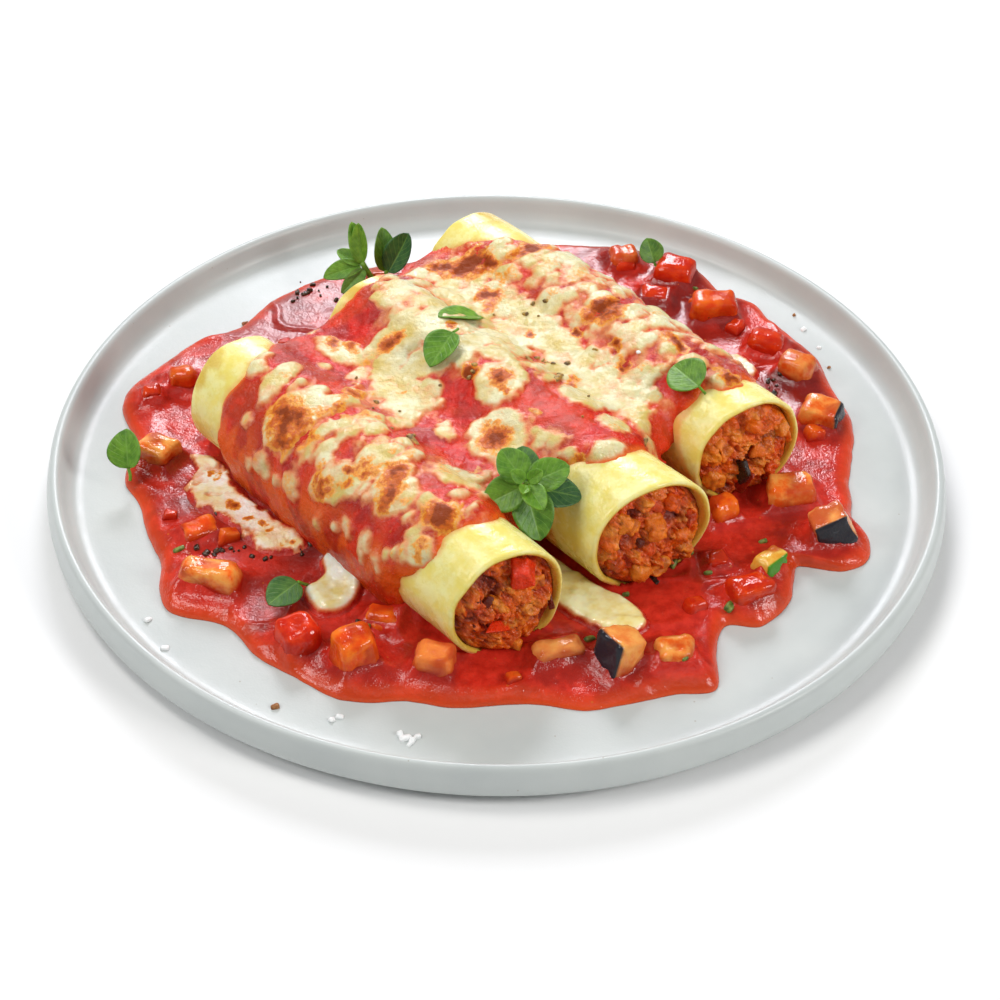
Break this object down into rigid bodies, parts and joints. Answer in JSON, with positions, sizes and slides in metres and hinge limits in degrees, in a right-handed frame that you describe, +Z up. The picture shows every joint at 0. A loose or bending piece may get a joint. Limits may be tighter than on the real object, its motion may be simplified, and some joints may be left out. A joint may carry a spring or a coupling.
{
  "type": "plated cannelloni",
  "caption": "Plate of cannelloni: filled pasta rolls side by side under tomato sauce and browned melted cheese, in vegetable tomato sauce, with oregano, on a round plate with an upright rim.",
  "frame": {"origin": "on the table under the middle of the round plate", "axes": "+Z up, +Y away from the diner and +X to the diner's right; the rolls run 48 degrees clockwise from +X, from the back left to the front right"},
  "size_m": [0.25, 0.25, 0.0422],
  "materials": {
    "plate_glaze": "satin glaze on pale grey-white stoneware",
    "tomato_sauce": "glossy, thick and slightly pulpy",
    "pasta": "smooth cooked pasta, faintly wet",
    "meat_filling": "coarse, crumbly, oily mince in tomato",
    "melted_cheese": "melted, with browned spots and an oily sheen",
    "mozzarella": "melted, smooth and glossy",
    "carrot": "cooked, wet with sauce",
    "tomato": "cooked, wet with sauce",
    "aubergine": "cooked flesh stained by sauce, dark glossy skin",
    "courgette": "cooked, green skin",
    "red_pepper": "cooked, wet with sauce"
  },
  "bodies": {
    "root": {"plate": "plate_glaze", "sauce_pool": "tomato_sauce", "pasta_tube_front": "pasta", "filling_front": "meat_filling", "pasta_tube_middle": "pasta", "filling_middle": "meat_filling", "pasta_tube_back": "pasta", "filling_back": "meat_filling", "sauce_blanket": "tomato_sauce", "cheese_topping": "melted_cheese", "cheese_baked_strip": "mozzarella", "mozzarella_drop": "mozzarella", "cheese_drip": "mozzarella", "cheese_blob": "mozzarella", "diced_carrot_1": "carrot", "diced_carrot_2": "carrot", "diced_carrot_3": "carrot", "diced_carrot_4": "carrot", "diced_carrot_5": "carrot", "diced_carrot_6": "carrot", "diced_carrot_7": "carrot", "diced_carrot_8": "carrot", "diced_tomato_1": "tomato", "diced_tomato_2": "tomato", "diced_tomato_3": "tomato", "diced_tomato_4": "tomato", "diced_tomato_5": "tomato", "diced_tomato_6": "tomato", "diced_aubergine_1": "aubergine", "diced_aubergine_2": "aubergine", "diced_aubergine_3": "aubergine", "diced_aubergine_4": "aubergine", "diced_aubergine_5": "aubergine", "diced_aubergine_6": "aubergine", "diced_aubergine_7": "aubergine", "diced_aubergine_8": "aubergine", "diced_aubergine_9": "aubergine", "diced_courgette_1": "courgette", "diced_pepper_1": "red_pepper"}
  },
  "joints": []
}
